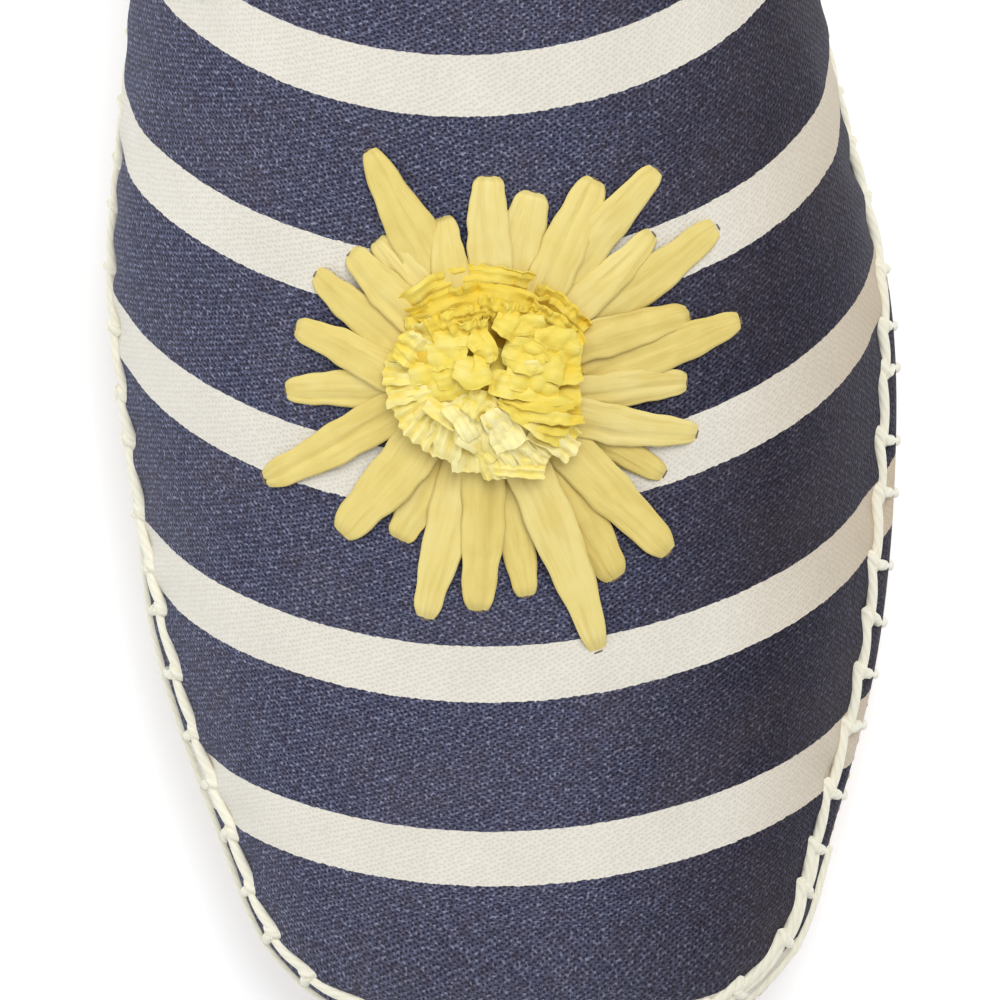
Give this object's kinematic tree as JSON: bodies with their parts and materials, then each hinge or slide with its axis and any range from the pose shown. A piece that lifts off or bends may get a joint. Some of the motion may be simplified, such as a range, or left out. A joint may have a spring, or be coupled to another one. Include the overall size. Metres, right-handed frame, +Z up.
{
  "type": "espadrille",
  "caption": "Right-foot flat canvas espadrille, navy and cream stripes, blanket-stitched to a jute rope sole, with a yellow raffia flower on the vamp.",
  "frame": {"origin": "under the middle of the shoe's box, on the floor it stands on", "axes": "+Z up, toe towards -Y and heel towards +Y, big-toe side towards +X"},
  "size_m": [0.0922, 0.254, 0.0652],
  "materials": {
    "canvas": "matte",
    "jute": "matte",
    "rubber": "matte",
    "insole_canvas": "matte",
    "raffia": "satin",
    "cotton_thread": "matte"
  },
  "bodies": {
    "root": {"outsole": "rubber", "rope_sole": "jute", "insole": "insole_canvas", "upper": "canvas", "flower_centre": "raffia"}
  },
  "joints": []
}
